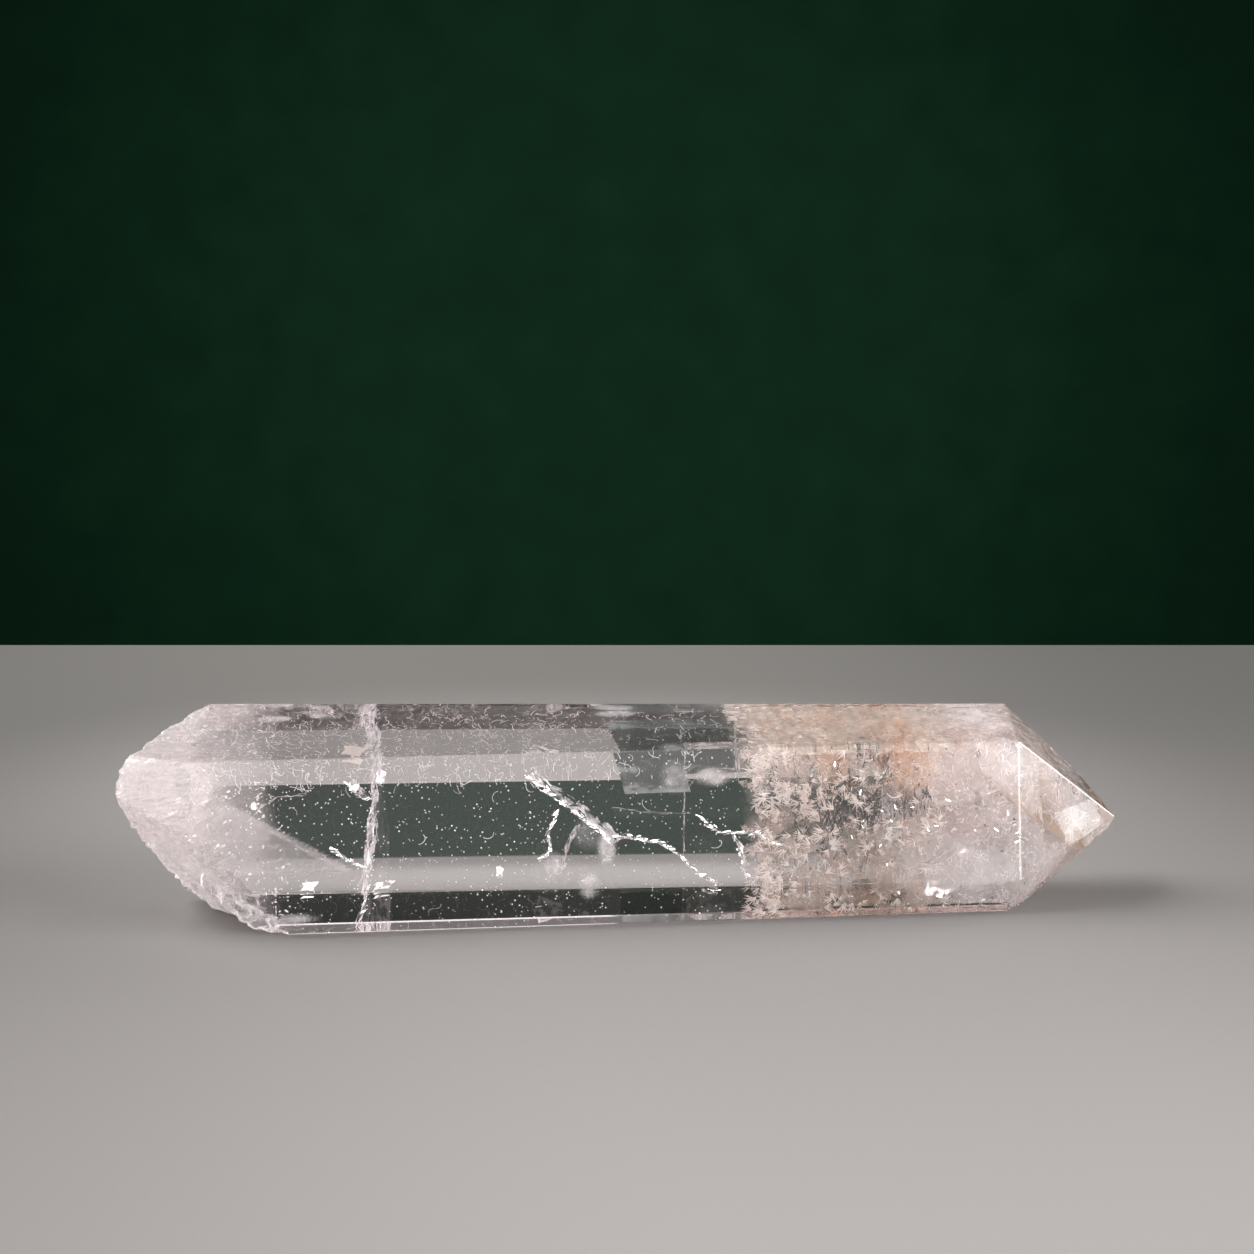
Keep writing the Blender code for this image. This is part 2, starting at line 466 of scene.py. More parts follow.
def keep_inside(piece, margin):
    """Trims a sheet to the polished faces, then takes off what is nearer than margin to the broken root."""
    trim_to_stone(piece, margin, close=False)
    delete_faces(piece, lambda polygon: inner_depth(polygon.center) < 0.5 * margin)


def fade(value, low, high):
    """0 at low and 1 at high, smooth between; low may be the higher number."""
    t = min(1.0, max(0.0, (value - low) / (high - low)))
    return t * t * (3 - 2 * t)


def lumps(point, size, seed):
    """A lumpy pattern from 0 to 1; point and size are in mm."""
    spot = point / size + Vector((0.0, seed, 2 * seed))
    return 0.5 + 0.62 * noise.noise(spot) + 0.3 * noise.noise(2.3 * spot) + 0.16 * noise.noise(5.1 * spot)


def blend_colours(share, first, second):
    return [a + share * (b - a) for a, b in zip(first, second)]


def give_look(cloud, look):
    """Keeps the cover and colour at each point in the mesh, and takes off the faces with next to no cover."""
    looks = [look(vert.co / MM) for vert in cloud.data.vertices]
    delete_faces(cloud, lambda polygon: max(looks[i][0] for i in polygon.vertices) < LEAST_COVER)
    cover = cloud.data.attributes.new("cover", "FLOAT", "POINT")
    colour = cloud.data.attributes.new("film_colour", "FLOAT_COLOR", "POINT")
    for vert in cloud.data.vertices:
        cover.data[vert.index].value, colour.data[vert.index].color = look(vert.co / MM)
    for polygon in cloud.data.polygons:
        polygon.use_smooth = True


def add_cloud(name, centre, length, seed, stacks, look):
    """Crossing stacks of uneven, wavy films inside the stone. look(point in mm) gives their cover and colour."""
    films = []
    for tilt, count in stacks:
        for step in range(count):
            stray = noise.noise_vector(Vector((seed, 2.3 * step, 5.7 * count)))
            normal = (Vector(tilt) + Vector((0.15 * stray.x, 0.6 * stray.y, 0.6 * stray.z))).normalized()
            offset = (step - (count - 1) / 2 + 0.6 * stray.x) * FILM_STEP
            films.append(add_film(centre + offset * Vector(tilt), normal, length, 34 * MM))
    cloud = join(films, name)
    for vert in cloud.data.vertices:
        vert.co += FILM_WAVE * noise.noise_vector(vert.co / (6 * MM) + Vector((seed, 0.0, 0.0)))
    keep_inside(cloud, 0.75 * MM)
    give_look(cloud, look)
    return cloud


def see_through(material, tree, shader, cover, through=0.5, colour=None):
    """Partly reflecting and partly letting light through, as a thin film of hollows does, where cover says."""
    back = node(tree, "BsdfTranslucent", {"Color": shader.inputs["Base Color"].default_value})
    if colour:
        tree.links.new(colour, shader.inputs["Base Color"])
        tree.links.new(colour, back.inputs["Color"])
    both = node(tree, "MixShader", {"Fac": through}, {1: (shader, "BSDF"), 2: (back, "BSDF")})
    gap = node(tree, "BsdfTransparent")
    film = node(tree, "MixShader", (), {"Fac": cover, 1: (gap, "BSDF"), 2: (both, "Shader")})
    tree.links.new(film.outputs["Shader"], tree.nodes["Material Output"].inputs["Surface"])


def film_finish(name, line=1.65):
    """A milky film, whose cover and colour are kept in its mesh; line is how much stronger its wavy lines are."""
    material, tree, shader = new_material(name, "#ffffff", 0.5)
    cover = node(tree, "Attribute", attribute_name="cover")
    colour = node(tree, "Attribute", attribute_name="film_colour")
    place = node(tree, "TexCoord")
    turned = node(tree, "Mapping", {"Rotation": (0.5, 0.3, 0.7)}, {"Vector": (place, "Object")})
    worms = node(
        tree,
        "TexNoise",
        {"Scale": 1 / (1.7 * MM), "Detail": 2.0, "Roughness": 0.6, "Distortion": 1.4},
        {"Vector": (turned, "Vector")},
    )
    from_line = node(tree, "Math", {1: 0.5}, {0: (worms, "Fac")}, operation="SUBTRACT")
    off_line = node(tree, "Math", (), {0: (from_line, "Value")}, operation="ABSOLUTE")
    outlines = node(
        tree,
        "MapRange",
        {"From Min": 0.025, "From Max": 0.006, "To Min": 0.86, "To Max": line},
        {"Value": (off_line, "Value")},
    )
    share = node(
        tree, "Math", (), {0: (cover, "Fac"), 1: (outlines, "Result")}, operation="MULTIPLY", use_clamp=True
    )
    see_through(material, tree, shader, (share, "Value"), colour=colour.outputs["Color"])
    return material


MILK, CREAM, TAN, PEACH, UMBER = (linear(c) for c in ("#fef9f8", "#faf0e6", "#eedccd", "#fbdcc4", "#bfa48c"))


def root_look(point):
    """Milky at the broken end, clearing towards the middle, last of all on top."""
    clear = -39.5 + 4.5 * fade(point.z, 14.5, 16.5)
    reach = point.x - clear + 3.0 * (lumps(point, 5.0, 1.0) - 0.5)
    cover = 0.09 * fade(reach, 1.5, -1.5) + 0.3 * fade(reach, -2.0, -8.0)
    under_top = fade(point.z, 11.5, 13.5) * fade(point.x, -50.0, -46.0)
    return cover * (1.0 - 0.6 * under_top) * (0.45 + 1.1 * lumps(point, 2.6, 4.0)), MILK


def dark_gap(point):
    """A level gap in the mass through which the dark behind shows, from 1 in its middle to 0."""
    off = (point.z - 11.0 - 0.16 * (point.x - 27.0) - 1.2 * (lumps(point, 3.0, 3.0) - 0.5)) / 1.8
    return math.exp(-off * off) * fade(point.x, 34.0, 31.0)


def tip_look(point):
    """Patchy and stained at first, then evenly milky up to the tip."""
    reach = point.x + 2.5 * (lumps(point, 4.0, 8.0) - 0.5)
    thick = 0.2 + 0.3 * fade(abs(point.z - 10.5), 1.5, 3.5)
    patchy = thick * fade(lumps(point, 2.4, 11.0), 0.34, 0.66) * (1.0 - 0.97 * dark_gap(point))
    even = 0.42 + 0.3 * fade(lumps(point, 3.0, 15.0), 0.3, 0.7)
    cover = fade(reach, 13.0, 14.5) * (patchy + fade(reach, 27.0, 34.0) * (even - patchy))
    peach = max(fade((point - Vector((x, point.y, z))).length, far, 0.5 * far) for x, z, far in PEACH_SPOTS)
    brown = fade(point.z, 9.0, 6.0) * fade(reach, 36.0, 28.0) * fade(lumps(point, 4.0, 19.0), 0.3, 0.6)
    colour = blend_colours(0.85 * peach, blend_colours(max(brown, 0.35 * fade(reach, 36.0, 28.0)), MILK, TAN), PEACH)
    return cover, colour


PEACH_SPOTS = ((22.8, 14.5, 3.0), (30.5, 15.5, 3.6), (27.0, 19.5, 2.5), (29.7, 12.4, 1.6))
film = film_finish("healed_crack_film")
even_film = film_finish("even_healed_crack_film", 1.2)


def skin_look(point):
    """Whitest on the knob, where the break is crushed, and thinner over the ledges."""
    knob = fade(point.z, 10.5, 13.0) * fade(point.x, -44.0, -48.0)
    return (0.26 + 0.24 * knob) * (0.45 + 1.1 * lumps(point, 1.2, 35.0)), MILK


bpy.ops.object.select_all(action="DESELECT")
stone.select_set(True)
bpy.context.view_layer.objects.active = stone
bpy.ops.object.duplicate()
skin = start("crushed_skin_of_break")
skin.data.materials.clear()
skin.data.materials.append(film)
dullness_there = [value.value for value in skin.data.attributes["dullness"].data]
delete_faces(skin, lambda polygon: dullness_there[polygon.index] != 0.5)
for vert, normal in [(vert, vert.normal.copy()) for vert in skin.data.vertices]:
    vert.co -= 0.12 * MM * normal
give_look(skin, skin_look)
for polygon in skin.data.polygons:
    polygon.use_smooth = False
STACKS = (((0.12, 0.93, -0.34), 6), ((-0.25, 0.30, 0.92), 4))
root_cloud = add_cloud("milky_root_films", Vector((-42, 0, 10.5)) * MM, 32 * MM, 1.0, STACKS, root_look)
tip_cloud = add_cloud("milky_tip_films", Vector((34.5, -1, 10.0)) * MM, 46 * MM, 5.0, STACKS, tip_look)


def tan_look(point):
    """Milk under the pyramid's top face, with brown streaks that gather at the tip."""
    streaks = lumps(Vector((point.x * 1.6, point.y * 3.0, 5.0)), 2.0, 27.0)
    brown = fade(point.x, 37.0, 45.0)
    return 0.95 * fade(point.x, 36.0, 39.0), blend_colours(brown, MILK, blend_colours(0.6 * streaks, UMBER, TAN))


def cream_look(point):
    """Cream and tan under the top face, where the stained mass comes close to it, in soft blotches."""
    flat = Vector((point.x, 0.35 * point.y, 0.0))
    stain = blend_colours(0.5 * fade(lumps(flat, 1.8, 51.0), 0.45, 0.75), CREAM, PEACH)
    spots = fade(lumps(flat, 0.6, 55.0), 0.6, 0.8)
    share = 0.7 * fade(point.x + 2.0 * lumps(flat, 3.0, 53.0), 14.0, 17.0) * fade(point.x, 42.0, 33.0)
    return share * (0.4 + 0.8 * lumps(flat, 0.9, 57.0)), blend_colours(0.7 * spots, stain, UMBER)


place, normal = faces_cut["top"]
cream_film = add_film(Vector((26, -1, 17.95)) * MM, normal, 30 * MM, 20 * MM, 0.4 * MM)
cream_film.name = cream_film.data.name = "cream_film_under_top"
keep_inside(cream_film, 0.3 * MM)
give_look(cream_film, cream_look)


def slope_look(point):
    """An even film with a sharp slanting upper edge."""
    over = point.z - 5.2 + 0.543 * (point.x + 31.5)
    share = 0.42 * fade(over, 0.1, -0.15) * fade(point.x, -47.0, -42.0) * fade(point.z, 4.0, 4.8)
    return share * (0.8 + 0.4 * lumps(point, 4.0, 59.0)), MILK


slope_film = add_film(Vector((-38.5, -2.9, 6.0)) * MM, faces_cut["front"][1], 20 * MM, 16 * MM, 0.3 * MM)
slope_film.name = slope_film.data.name = "slanting_root_film"
keep_inside(slope_film, 0.3 * MM)
give_look(slope_film, slope_look)
place, normal = faces_cut["pyramid_top"]
tan_film = add_film(place - 0.45 * MM * normal - Vector((7, 0, 0)) * MM, normal, 26 * MM, 16 * MM)
tan_film.name = tan_film.data.name = "tan_tip_film"
keep_inside(tan_film, 0.3 * MM)
give_look(tan_film, tan_look)
for cloud in (tip_cloud, tan_film, cream_film):
    cloud.data.materials.append(film)
for cloud in (root_cloud, slope_film):
    cloud.data.materials.append(even_film)
for cloud in (skin, root_cloud, tip_cloud, tan_film, cream_film, slope_film):
    keep_in_stone(cloud)

# Several larger cracks cross the clear middle. Each holds a film of air that mirrors the light, so it shows as a
# bright silvery line where it is seen edge on. The widest one runs right across the stone.
CRACK_ROWS, CRACK_STEP = 8, 0.35


def swept(name, path, sweep, jag, seed):
    """A sheet that follows a bent path and is swept sideways, with a jagged waver; all in mm."""
    corners = [Vector(point) for point in path]
    lengths = [(b - a).length for a, b in zip(corners, corners[1:])]
    total = sum(lengths)
    columns = max(4, round(total / CRACK_STEP))
    bpy.ops.object.select_all(action="DESELECT")
    bpy.ops.mesh.primitive_grid_add(x_subdivisions=columns, y_subdivisions=CRACK_ROWS, size=1.0)
    sheet = start(name)
    for vert in sheet.data.vertices:
        ahead_by, side = (vert.co.x + 0.5) * total, vert.co.y + 0.5
        for a, b, length in zip(corners, corners[1:], lengths):
            if ahead_by <= length or b == corners[-1]:
                spot = a.lerp(b, min(1.0, ahead_by / length))
                break
            ahead_by -= length
        spot += Vector(sweep) * side
        spot += jag * noise.noise_vector(spot / 1.1 + Vector((seed, 0, 0)))
        spot += 0.4 * jag * noise.noise_vector(spot / 0.4 + Vector((0, seed, 0)))
        vert.co = spot * MM
    return sheet


def crack_finish(name, colour, thickness, seed, size=1.2 * MM, bare=0.42, full=0.58):
    """An air film: bright and a little glossy, in ragged patches."""
    material, tree, shader = new_material(name, colour, 0.3)
    shader.inputs["Metallic"].default_value = 0.35
    place = node(tree, "TexCoord")
    turned = node(tree, "Mapping", {"Location": (seed, 0.0, 0.0)}, {"Vector": (place, "Object")})
    ragged = node(tree, "TexNoise", {"Scale": 1 / size, "Detail": 3.0}, {"Vector": (turned, "Vector")})
    patches = node(
        tree,
        "MapRange",
        {"From Min": bare, "From Max": full, "To Min": 0.0, "To Max": thickness},
        {"Value": (ragged, "Fac")},
    )
    see_through(material, tree, shader, (patches, "Result"), 0.4)
    return material


cracks = {
    "left_bright": ([(-31.1, -3.8, 14.6), (-30.0, -4.4, 13.3), (-28.4, -4.6, 12.7)], (0.9, 2.6, -0.3)),
    "left_low": ([(-33.2, -7.4, 8.3), (-31.2, -8.0, 6.9), (-29.6, -8.3, 6.2)], (0.3, 2.5, -0.8)),
    "long": (
        [(-11.5, -3.0, 14.6), (-10.0, -3.6, 13.0), (-8.8, -3.9, 12.5), (-7.4, -4.3, 11.4), (-5.8, -4.8, 10.3),
         (-3.7, -5.5, 8.5), (-2.5, -6.1, 7.2)],
        (1.5, 4.0, -0.5),
    ),
    "low_middle": (
        [(-2.2, -6.7, 8.5), (0.5, -6.9, 7.9), (2.7, -7.1, 7.6), (4.8, -7.6, 6.2), (6.9, -8.5, 4.1), (8.7, -8.9, 3.3)],
        (0.3, 2.5, -0.9),
    ),
    "right_branch": (
        [(6.9, -7.0, 10.5), (9.1, -7.8, 8.7), (13.4, -7.9, 8.5), (14.7, -8.3, 7.4), (19.7, -8.8, 6.5)],
        (0.2, 1.8, -0.6),
    ),
    "right_down": ([(10.7, -7.9, 8.3), (11.4, -8.6, 6.8), (11.6, -9.4, 4.7), (12.2, -9.9, 3.4)], (0.5, 1.6, -0.3)),
    "zigzag": ([(-8.5, -6.5, 11.3), (-9.7, -7.4, 8.9), (-9.5, -8.1, 7.4), (-10.9, -8.5, 6.2)], (0.3, 1.8, -0.4)),
}
bright = []
for seed, (name, (path, sweep)) in enumerate(cracks.items()):
    bright.append(swept(name, path, sweep, 0.22, seed * 3.0))
bright_cracks = join(bright, "bright_cracks")
keep_inside(bright_cracks, 0.15 * MM)
bright_cracks.data.materials.append(crack_finish("air_in_crack", "#fffcfd", 1.0, 2.0))

faint_paths = {
    "upright": ([(6.5, 0.4, 16.2), (6.1, -1.6, 10.8), (5.6, -3.8, 4.6)], (0.55, 3.5, -0.8)),
    "level": ([(-2.1, -3.6, 10.8), (2.0, -3.9, 10.2), (6.5, -4.0, 9.9)], (0.2, 2.0, -0.7)),
    "leaning": ([(-6.2, -3.3, 8.8), (-7.5, -4.1, 6.8), (-8.2, -5.1, 4.2)], (0.9, 3.0, -0.8)),
    "top_upright": ([(14.1, 8.8, 17.9), (11.5, -4.9, 16.0)], (0.3, 0.5, -3.0)),
    "left_slope": ([(-42.0, -0.9, 10.9), (-39.4, -1.6, 9.4), (-36.2, -2.4, 7.4), (-31.5, -3.3, 5.2)], (0.4, 4.0, -2.0)),
    "left_arc": ([(-41.9, -4.2, 10.7), (-40.7, -3.7, 12.1), (-38.9, -3.3, 13.1), (-35.6, -3.2, 13.4)], (0.3, 3.0, -0.9)),
    "blob_rim": ([(6.1, -4.0, 12.6), (7.7, -3.3, 14.4), (9.4, -3.2, 14.8), (11.7, -3.2, 14.7)], (0.3, 3.0, -0.9)),
    "right_arc": ([(28.8, -11.0, 3.6), (27.4, -9.7, 7.1), (28.4, -9.2, 8.4), (30.3, -9.1, 8.6)], (0.3, 1.2, -0.4)),
}
faint = []
for seed, (name, (path, sweep)) in enumerate(faint_paths.items()):
    faint.append(swept(name, path, sweep, 0.2, 40 + seed * 3.0))
faint_cracks = join(faint, "faint_cracks")
keep_inside(faint_cracks, 0.15 * MM)
faint_cracks.data.materials.append(crack_finish("healed_crack", "#fdf6f6", 0.6, 9.0))

# Thin dark lips of the ledges at the root: a dark greyish brown film along each ledge.
ledge_paths = (
    [(-53.0, -8.2, 11.2), (-51.6, -8.6, 10.2), (-50.6, -9.1, 9.1)],
    [(-51.3, -9.0, 9.3), (-49.9, -9.3, 8.3), (-48.4, -9.9, 7.0)],
    [(-48.7, -9.5, 8.0), (-47.2, -9.8, 6.7), (-45.8, -10.5, 5.6)],
    [(-47.2, -10.3, 6.2), (-45.2, -10.5, 4.8), (-43.2, -10.8, 3.6)],
    [(-44.1, -10.8, 5.1), (-42.4, -10.7, 3.8), (-40.8, -10.7, 2.7)],
    [(-46.5, -9.4, 8.4), (-45.7, -9.9, 7.1)],
)
lips = [swept("lip", path, (0.1, 0.16, 0.1), 0.12, 90 + seed) for seed, path in enumerate(ledge_paths)]
ledge_lips = join(lips, "ledge_lips")
keep_inside(ledge_lips, 0.12 * MM)
ledge_lips.data.materials.append(crack_finish("dark_ledge_line", "#6d5d50", 0.9, 31.0, 0.8 * MM, 0.35, 0.5))
keep_in_stone(ledge_lips)

# A crack that lies level under the top face mirrors the dark behind the stone, so the bands stop short there.
level_crack = swept("level_mirror_crack", [(-0.8, -4.6, 13.2), (14.2, -4.6, 13.2)], (0.0, 13.0, 0.0), 0.03, 61.0)
for vert in level_crack.data.vertices:
    vert.co.z += 0.15 * vert.co.y
delete_faces(level_crack, lambda polygon: polygon.center.x > 6.6 * MM and polygon.center.y < 0.0)
keep_inside(level_crack, 0.12 * MM)
mirror, tree, shader = new_material("mirror_of_air", "#b0b6b3", 0.08)
shader.inputs["Metallic"].default_value = 0.82
level_crack.data.materials.append(mirror)

across_path = [(-30.6, -11.0, 0.2), (-29.6, -11.0, 4.0), (-28.6, -10.0, 9.0), (-28.3, -9.0, 13.0), (-27.3, -7.0, 20.5)]
across_crack = swept("crack_right_across", across_path, (1.2, 24.0, 0.0), 0.55, 77.0)
keep_inside(across_crack, 0.12 * MM)
across_crack.data.materials.append(crack_finish("wide_air_film", "#fdf9fc", 0.8, 21.0, 2.2 * MM))
for piece in (bright_cracks, faint_cracks, across_crack, level_crack):
    keep_in_stone(piece)

# Fine things are caught in the quartz: specks and bubbles all through it, curved hair-fine wisps, a mass of pale
# and black needles in the last third before the tip, and rust there. Each kind is one joined mesh.


def scattered(name, shape, spots, material):
    """One mesh of copies of a small modelled shape, one for each matrix, pressed back under the polished faces."""
    base = np.array([vert.co for vert in shape.data.vertices])
    rings = [np.array(polygon.vertices) for polygon in shape.data.polygons]
    points = np.concatenate([base @ np.array(spot)[:3, :3].T + np.array(spot)[:3, 3] for spot in spots])
    for place, normal in faces_cut.values():
        sticks_out = (points - np.array(place)) @ np.array(normal) + 0.1 * MM
        points -= np.outer(np.maximum(sticks_out, 0.0), normal)
    mesh = bpy.data.meshes.new(name)
    mesh.from_pydata(
        points.tolist(),
        [],
        [(ring + index * len(base)).tolist() for index in range(len(spots)) for ring in rings],
    )
    mesh.materials.append(material)
    piece = bpy.data.objects.new(name, mesh)
    bpy.context.scene.collection.objects.link(piece)
    bpy.data.objects.remove(shape)
    depths = [inner_depth(vert.co) for vert in mesh.vertices]
    delete_faces(piece, lambda polygon: min(depths[i] for i in polygon.vertices) < 0.05 * MM)
    keep_in_stone(piece)
    return piece


def random_turn(draw):
    a, b, c = draw.uniform(0.0, 2 * math.pi, 3)
    return Matrix.Rotation(a, 4, "X") @ Matrix.Rotation(b, 4, "Y") @ Matrix.Rotation(c, 4, "Z")


def spots_inside(draw, count, low, high, margin, sizes, stretch=(1.0, 1.0, 1.0), wanted=None, turn=random_turn):
    """Matrices for copies at random places between two corners in mm, deeper than margin inside the stone."""
    spots = []
    while len(spots) < count:
        point = Vector(draw.uniform(low, high)) * MM
        size = draw.uniform(*sizes) * MM
        turned = turn(draw)
        keep = draw.uniform()
        if inner_depth(point) < margin * MM or (wanted and keep > wanted(point / MM)):
            continue
        scale = Matrix.Diagonal((*(size * s for s in stretch), 1.0))
        spots.append(Matrix.Translation(point) @ turned @ scale)
    return spots


def new_shape(kind, **settings):
    bpy.ops.object.select_all(action="DESELECT")
    getattr(bpy.ops.mesh, "primitive_" + kind + "_add")(**settings)
    return start("shape")


draw = np.random.default_rng(7)
speck_white, tree, shader = new_material("speck_of_trapped_air", "#ffffff", 0.3)
specks = scattered(
    "specks",
    new_shape("ico_sphere", subdivisions=1, radius=1.0),
    spots_inside(draw, 2100, (-50, -12, 0), (54, 13, 21), 0.3, (0.045, 0.11)),
    speck_white,
)


def add_arc(thickness):
    """A hair bent through a third of a turn: a small triangle swept round by a spin."""
    bpy.ops.object.select_all(action="DESELECT")
    bpy.ops.mesh.primitive_circle_add(
        vertices=3, radius=thickness, location=(1.0, 0.0, 0.0), rotation=(math.radians(90), 0.0, 0.0)
    )
    arc = start("arc")
    fix_in_place(arc)
    bpy.ops.object.mode_set(mode="EDIT")
    bpy.ops.mesh.select_all(action="SELECT")
    bpy.ops.mesh.spin(steps=7, angle=math.radians(120), center=(0.0, 0.0, 0.0), axis=(0.0, 0.0, 1.0))
    bpy.ops.mesh.select_all(action="SELECT")
    bpy.ops.mesh.normals_make_consistent(inside=False)
    bpy.ops.object.mode_set(mode="OBJECT")
    return arc


wisp_white, tree, shader = new_material("hair_fine_wisp", "#f4eeec", 0.4)


def under_top(point):
    """Most wisps lie in the upper half of the clear middle, and fewer over the level crack."""
    return (0.25 if point.x > -1.5 else 1.0) if point.z > 14 else 0.005


wisps = scattered(
    "hair_wisps",
    add_arc(0.045),
    spots_inside(draw, 750, (-45, -11, 0), (14, 12, 21), 0.3, (0.35, 1.0), wanted=under_top),
    wisp_white,
)


def tuft_mass(point):
    """The mass starts at a sharp, ragged line, lies mostly just under the surface, and thins towards the tip."""
    near_surface = 1.0 if inner_depth(point * MM) < 3.5 * MM else 0.2
    furry = max(0.3, fade(abs(point.z - 11.0), 5.0, 3.0), fade(point.x, 18.0, 15.0))
    where = near_surface * furry * fade(point.x, 38.0, 28.0)
    return where * fade(lumps(point, 1.8, 31.0), 0.38, 0.6) * (1 - 0.97 * dark_gap(point))


def upright_turn(draw):
    """Mostly upright, leaning up to 50 degrees any way."""
    return Matrix.Rotation(draw.uniform(0, 2 * math.pi), 4, "Z") @ Matrix.Rotation(draw.uniform(0, 0.9), 4, "X")


def add_spray(blades, spread, thickness):
    """Thin blades that stand out of one point like a feathery tuft, each leaning up to spread degrees."""
    spray = []
    for index in range(blades):
        lean = math.radians(spread) * ((index + 0.5) / blades) ** 0.5
        around = index * math.radians(137.5)
        bpy.ops.object.select_all(action="DESELECT")
        bpy.ops.mesh.primitive_cone_add(
            vertices=3, radius1=thickness, radius2=0.2 * thickness, depth=1.0, location=(0.0, 0.0, 0.5)
        )
        blade = start("blade")
        fix_in_place(blade)
        blade.rotation_euler = (lean, 0.0, around)
        fix_in_place(blade)
        spray.append(blade)
    return join(spray, "spray")


pale_needle, tree, shader = new_material("pale_needle", "#fcf3ee", 0.45)
tufts = scattered(
    "feathery_tufts",
    add_spray(7, 46, 0.09),
    spots_inside(draw, 1100, (13.2, -11, 0.5), (38, 12, 21), 0.3, (0.45, 1.3), wanted=tuft_mass),
    pale_needle,
)


def black_band(point):
    """The black needles lie in a band that rises towards the tip, and in a smaller patch above it."""
    band = abs(point.z - (10.8 + (point.x - 27) * 0.16))
    upper = (point - Vector((27.0, point.y, 16.0))).length
    return 1.0 if band < 0.9 and point.x > 21 else (0.5 if upper < 2.0 else (0.10 if point.x < 28 else 0.03))


black_needle, tree, shader = new_material("black_green_needle", "#1a221e", 0.35)
black_needles = scattered(
    "black_needles",
    new_shape("cone", vertices=3, radius1=0.5, radius2=0.1, depth=1.0),
    spots_inside(draw, 1200, (15, -10, 2), (33, -2, 19), 0.25, (0.5, 1.4), (0.12, 0.12, 1.0), black_band, upright_turn),
    black_needle,
)


def rust_patches(point):
    first = (point - Vector((22.8, point.y, 14.5))).length < 2.2
    second = abs(point.x - 30.5) < 3.2 and abs(point.z - 15.5) < 2.0
    return 1.0 if first or second else 0.06


rust, tree, shader = new_material("iron_rust", "#bf8558", 0.7)
rust_grains = scattered(
    "rust_grains",
    new_shape("ico_sphere", subdivisions=1, radius=1.0),
    spots_inside(draw, 420, (14, -10, 1), (44, 6, 20), 0.3, (0.08, 0.28), (1.0, 0.7, 0.4), rust_patches),
    rust,
)
flake_white, tree, shader = new_material("bright_flake", "#fbf6f7", 0.18)
flakes = scattered(
    "bright_flakes",
    new_shape("circle", vertices=5, radius=1.0, fill_type="NGON"),
    spots_inside(draw, 900, (26, -12, 0.5), (54, 11, 20), 0.3, (0.08, 0.3), (1.0, 0.6, 1.0)),
    flake_white,
)
root_flakes = scattered(
    "root_flakes",
    new_shape("circle", vertices=5, radius=1.0, fill_type="NGON"),
    spots_inside(draw, 500, (-55, -12, 0.5), (-38, 13, 21), 0.3, (0.08, 0.35), (1.0, 0.6, 1.0)),
    flake_white,
)



def near_surface(point):
    """Only the millimetre and a half below the surface."""
    return 1.0 if inner_depth(point * MM) < 1.5 * MM else 0.0


crumple_white, tree, shader = new_material("crumple_line", "#fff9fa", 0.3)
for name, count, low, high in (
    ("tip_crumples", 420, (28, -12, 0.5), (53, 11, 20.5)),
    ("root_crumples", 80, (-55, -12, 0.5), (-38, 13, 20.5)),
):
    crumples = scattered(
        name,
        add_arc(0.07),
        spots_inside(draw, count, low, high, 0.3, (0.25, 0.8), wanted=near_surface),
        crumple_white,
    )

grey_fleck, tree, shader = new_material("grey_fleck", "#8d807a", 0.5)
scattered(
    "grey_flecks",
    new_shape("circle", vertices=5, radius=1.0, fill_type="NGON"),
    spots_inside(draw, 420, (27, -12, 0.5), (52, 11, 20), 0.3, (0.07, 0.24), (1.0, 0.6, 1.0), near_surface),
    grey_fleck,
)

# Single patches stand out by their size: bright glints where a crack faces the light, pale clouds and one peach leaf
# under the top face, and dark slivers and rust before the tip. Each is a flat ragged film.


def add_patch(spot, wide, high, facing, seed, corners=9, jag=0.3):
    """A flat ragged patch around a spot, wide along X as far as facing lets it; all in mm."""
    bpy.ops.object.select_all(action="DESELECT")
    bpy.ops.mesh.primitive_circle_add(vertices=corners, radius=0.5, fill_type="NGON")
    patch = start("patch")
    for vert in patch.data.vertices:
        vert.co *= 1.0 + jag * (1 if vert.index % 2 else -1) * (0.5 + noise.noise(Vector((vert.index * 1.7, seed, 0.0))))
    normal = Vector(facing).normalized()
    across = normal.cross(Vector((1.0, 0.0, 0.0))).normalized()
    turn = Matrix((across.cross(normal), across, normal)).transposed().to_4x4()
    patch.matrix_world = Matrix.Translation(Vector(spot) * MM) @ turn @ Matrix.Diagonal((wide * MM, high * MM, 1.0, 1.0))
    fix_in_place(patch)
    return patch


FORWARD = faces_cut["front"][1]
DOWN_FRONT = faces_cut["lower_front"][1]
UPWARD = faces_cut["top"][1]
TIPWARD = faces_cut["pyramid_front"][1]
# Turned these ways, a mirror in the stone throws the light of the key box, or of the right box, at the eye.
TO_KEY = Vector((-0.351, -0.528, 0.773))
TO_FILL = Vector((0.183, -0.913, 0.364))
bare_mirror, tree, shader = new_material("bright_mirror_of_air", "#ffffff", 0.2)
shader.inputs["Metallic"].default_value = 1.0
ragged_mirror = crack_finish("ragged_mirror_of_air", "#fff8fa", 0.9, 3.0, 0.7 * MM, 0.36, 0.56)
ragged_mirror.node_tree.nodes["Principled BSDF"].inputs["Metallic"].default_value = 1.0


